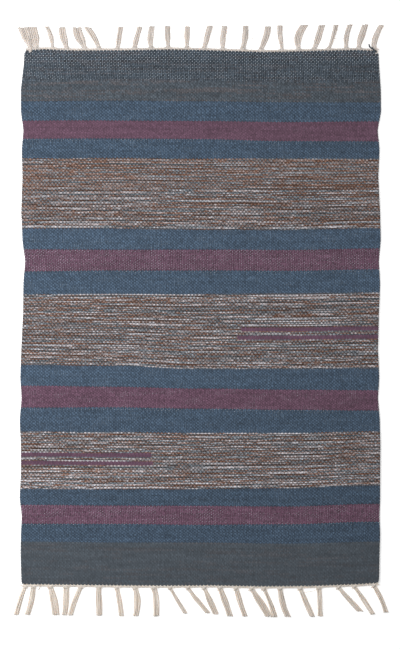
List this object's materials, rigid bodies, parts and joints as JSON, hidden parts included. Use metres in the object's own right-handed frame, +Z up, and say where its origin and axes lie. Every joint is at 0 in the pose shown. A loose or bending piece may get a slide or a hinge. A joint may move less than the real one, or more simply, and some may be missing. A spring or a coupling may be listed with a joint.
{
  "type": "kilim rug",
  "caption": "Small flat-woven kilim rug lying flat, striped across in slate, blue, plum and mottled grey, with knotted warp tassels along both short ends.",
  "frame": {"origin": "centre of the rug's footprint on the floor, tassels included", "axes": "+X along the weft to the right, +Y along the warp to the far end, whose tassels are the shorter ones, +Z up"},
  "size_m": [0.6286, 0.9964, 0.0045],
  "materials": {
    "weft_yarn": "matte hand-woven wool yarn in stripes",
    "warp_cotton": "matte undyed plied cotton yarn"
  },
  "bodies": {
    "root": {"woven_cloth": "weft_yarn", "far_fringe": "warp_cotton", "near_fringe": "warp_cotton"}
  },
  "joints": []
}
